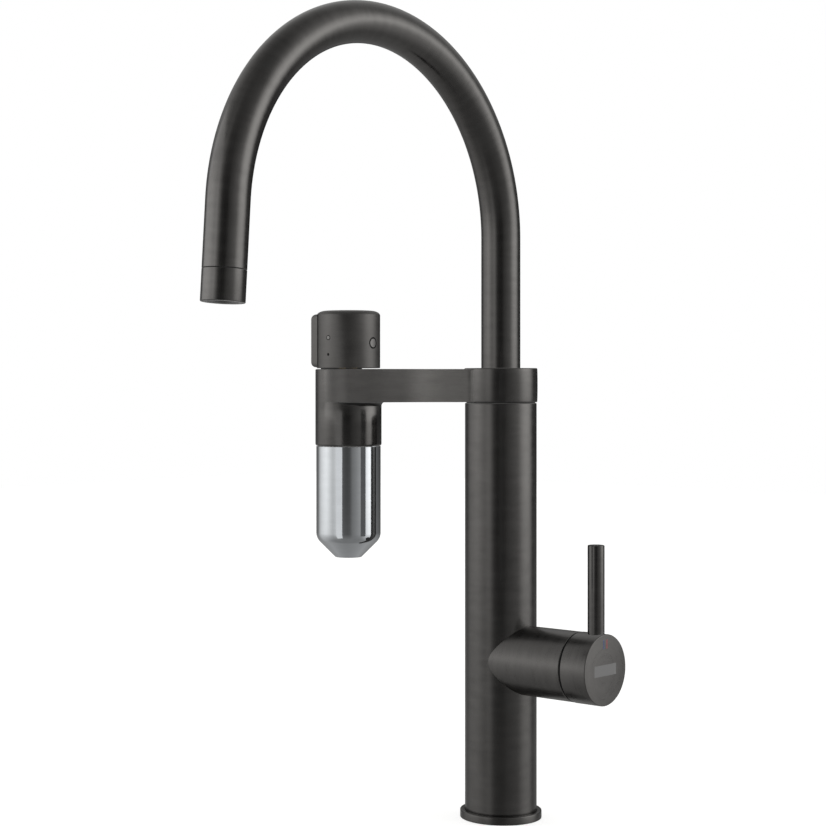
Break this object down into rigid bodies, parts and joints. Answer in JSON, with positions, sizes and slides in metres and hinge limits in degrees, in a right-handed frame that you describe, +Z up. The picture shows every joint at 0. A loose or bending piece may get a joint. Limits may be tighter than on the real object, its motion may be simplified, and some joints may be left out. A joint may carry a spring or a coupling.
{
  "type": "filter kitchen mixer tap",
  "caption": "Black kitchen mixer tap with a swivel swan-neck spout, a side lever and a turning arm that carries a filtered water knob above a screw-on filter capsule.",
  "frame": {"origin": "centre of the base underside, at the mouth of the hole for the fixing stud", "axes": "+Z up along the column, -Y along the spout, +X towards the mixing lever"},
  "size_m": [0.1644, 0.2734, 0.4841],
  "materials": {
    "black_satin": "satin black coated metal with a very fine lengthwise grain",
    "black_matt": "matt black coated metal",
    "brass": "machined",
    "copper": "drawn tube",
    "steel": "machined",
    "brushed_capsule": "fine brushed, satin",
    "rubber": "matt",
    "slip_plastic": "matt",
    "ceramic": "ground flat",
    "white_plastic": "moulded",
    "dark_plastic": "moulded",
    "carbon": "porous block",
    "blue_mark": "enamel fill",
    "red_mark": "enamel fill",
    "grey_mark": "smooth satin",
    "dark_mark": "engraved and filled"
  },
  "bodies": {
    "column": {"base_ring": "black_satin", "base_gasket": "rubber", "foot_plug": "brass", "body_column": "black_satin", "hot_tube": "copper", "cold_tube": "copper", "mixed_tube": "copper", "filter_feed_tube": "copper", "valve_housing": "black_satin", "mixing_manifold": "brass", "cartridge_case": "white_plastic", "port_seals": "rubber", "fixed_disc": "ceramic", "cartridge_nut": "brass", "swivel_core": "brass", "neck_seals": "rubber", "slip_washer": "slip_plastic", "retaining_ring": "black_satin"},
    "spout": {"spout_tail": "brass", "tail_seals": "rubber", "spout_tube": "black_satin", "filtered_water_tube": "white_plastic", "nozzle_collar": "black_satin", "aerator_insert": "dark_plastic"},
    "arm": {"filter_arm": "black_matt", "valve_headwork": "brass", "valve_fixed_disc": "ceramic", "capsule_socket": "dark_plastic"},
    "knob": {"valve_moving_disc": "ceramic", "valve_spindle": "brass", "filter_knob": "black_matt", "knob_grip": "black_matt", "knob_screw": "steel", "knob_ring_marks": "dark_mark", "knob_dot_marks": "dark_mark", "knob_lens": "grey_mark"},
    "filter": {"filter_cartridge": "white_plastic", "filter_lid": "white_plastic", "filter_media": "carbon", "spigot_seals": "rubber"},
    "capsule": {"capsule_shell": "brushed_capsule", "capsule_seal": "rubber"},
    "turret": {"cartridge_turret": "white_plastic", "pivot_pin": "steel"},
    "disc": {"moving_disc": "ceramic", "disc_carrier": "white_plastic"},
    "lever": {"cartridge_stem": "brass", "handle_cap": "black_satin", "handle_lever": "black_satin", "handle_grub_screw": "steel", "cold_mark": "blue_mark", "hot_mark": "red_mark", "face_plate": "grey_mark"}
  },
  "joints": [
    {"name": "spout_swivel", "type": "hinge", "parent": "column", "child": "spout", "pos_m": [0, 0, 0.2546], "axis": [0, 0, 1], "range_deg": [-60, 60]},
    {"name": "arm_swivel", "type": "hinge", "parent": "column", "child": "arm", "pos_m": [0, 0, 0.2546], "axis": [0, 0, 1], "range_deg": [-45, 45]},
    {"name": "filter_knob_turn", "type": "hinge", "parent": "arm", "child": "knob", "pos_m": [-0.0664, -0.0664, 0.29], "axis": [0, 0, 1], "range_deg": [0, 90]},
    {"name": "capsule_drop", "type": "slide", "parent": "arm", "child": "filter", "axis": [0, 0, -1], "range_m": [0, 0.009]},
    {"name": "capsule_turn", "type": "hinge", "parent": "filter", "child": "capsule", "pos_m": [-0.0664, -0.0664, 0.19], "axis": [0, 0, -1], "range_deg": [0, 1080]},
    {"name": "handle_turn", "type": "hinge", "parent": "column", "child": "turret", "pos_m": [0.043, 0, 0.098], "axis": [1, 0, 0], "range_deg": [-45, 45]},
    {"name": "handle_tilt", "type": "hinge", "parent": "turret", "child": "lever", "pos_m": [0.043, 0, 0.098], "axis": [0, 1, 0], "range_deg": [0, 20]},
    {"name": "disc_slide", "type": "slide", "parent": "turret", "child": "disc", "axis": [0, 0, 1], "range_m": [0, 0.0019]}
  ],
  "couplings": [
    {"joint": "capsule_turn", "follows": "capsule_drop", "rad_per_m": 2094},
    {"joint": "disc_slide", "follows": "handle_tilt", "m_per_rad": 0.0054}
  ]
}
